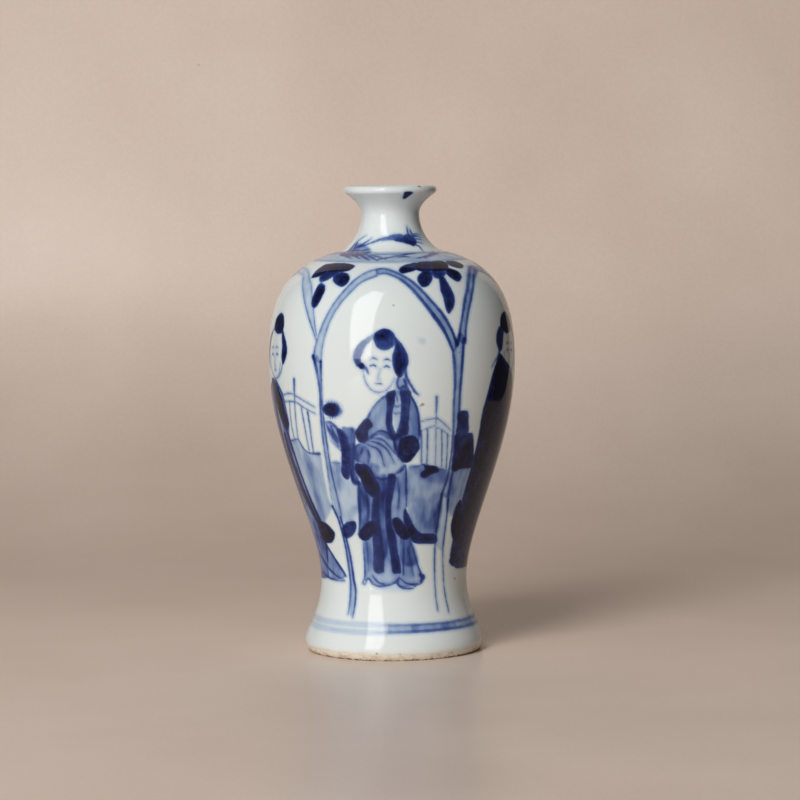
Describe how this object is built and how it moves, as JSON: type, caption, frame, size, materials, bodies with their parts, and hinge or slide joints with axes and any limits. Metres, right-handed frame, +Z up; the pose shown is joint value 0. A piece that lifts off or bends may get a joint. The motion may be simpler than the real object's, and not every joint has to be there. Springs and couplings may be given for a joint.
{
  "type": "porcelain vase",
  "caption": "Small blue and white porcelain baluster vase with a high shoulder, short neck, everted lip and spreading foot, built from luted thrown sections.",
  "frame": {"origin": "centre of the foot ring's standing face", "axes": "+Z up the pot's axis, towards the mouth; -Y is the side that faces the viewer"},
  "size_m": [0.0584, 0.0584, 0.11],
  "materials": {
    "glazed_porcelain": "clear bluish-white glaze over painted cobalt, glossy",
    "bare_clay": "unglazed, knife-cut, fired buff",
    "dried_slip": "luting slip under the glaze"
  },
  "bodies": {
    "root": {"foot_ring": "bare_clay", "foot": "glazed_porcelain", "foot_joint_slip": "dried_slip", "lower_body": "glazed_porcelain", "body_joint_slip": "dried_slip", "upper_body": "glazed_porcelain", "neck_joint_slip": "dried_slip", "neck": "glazed_porcelain"}
  },
  "joints": []
}
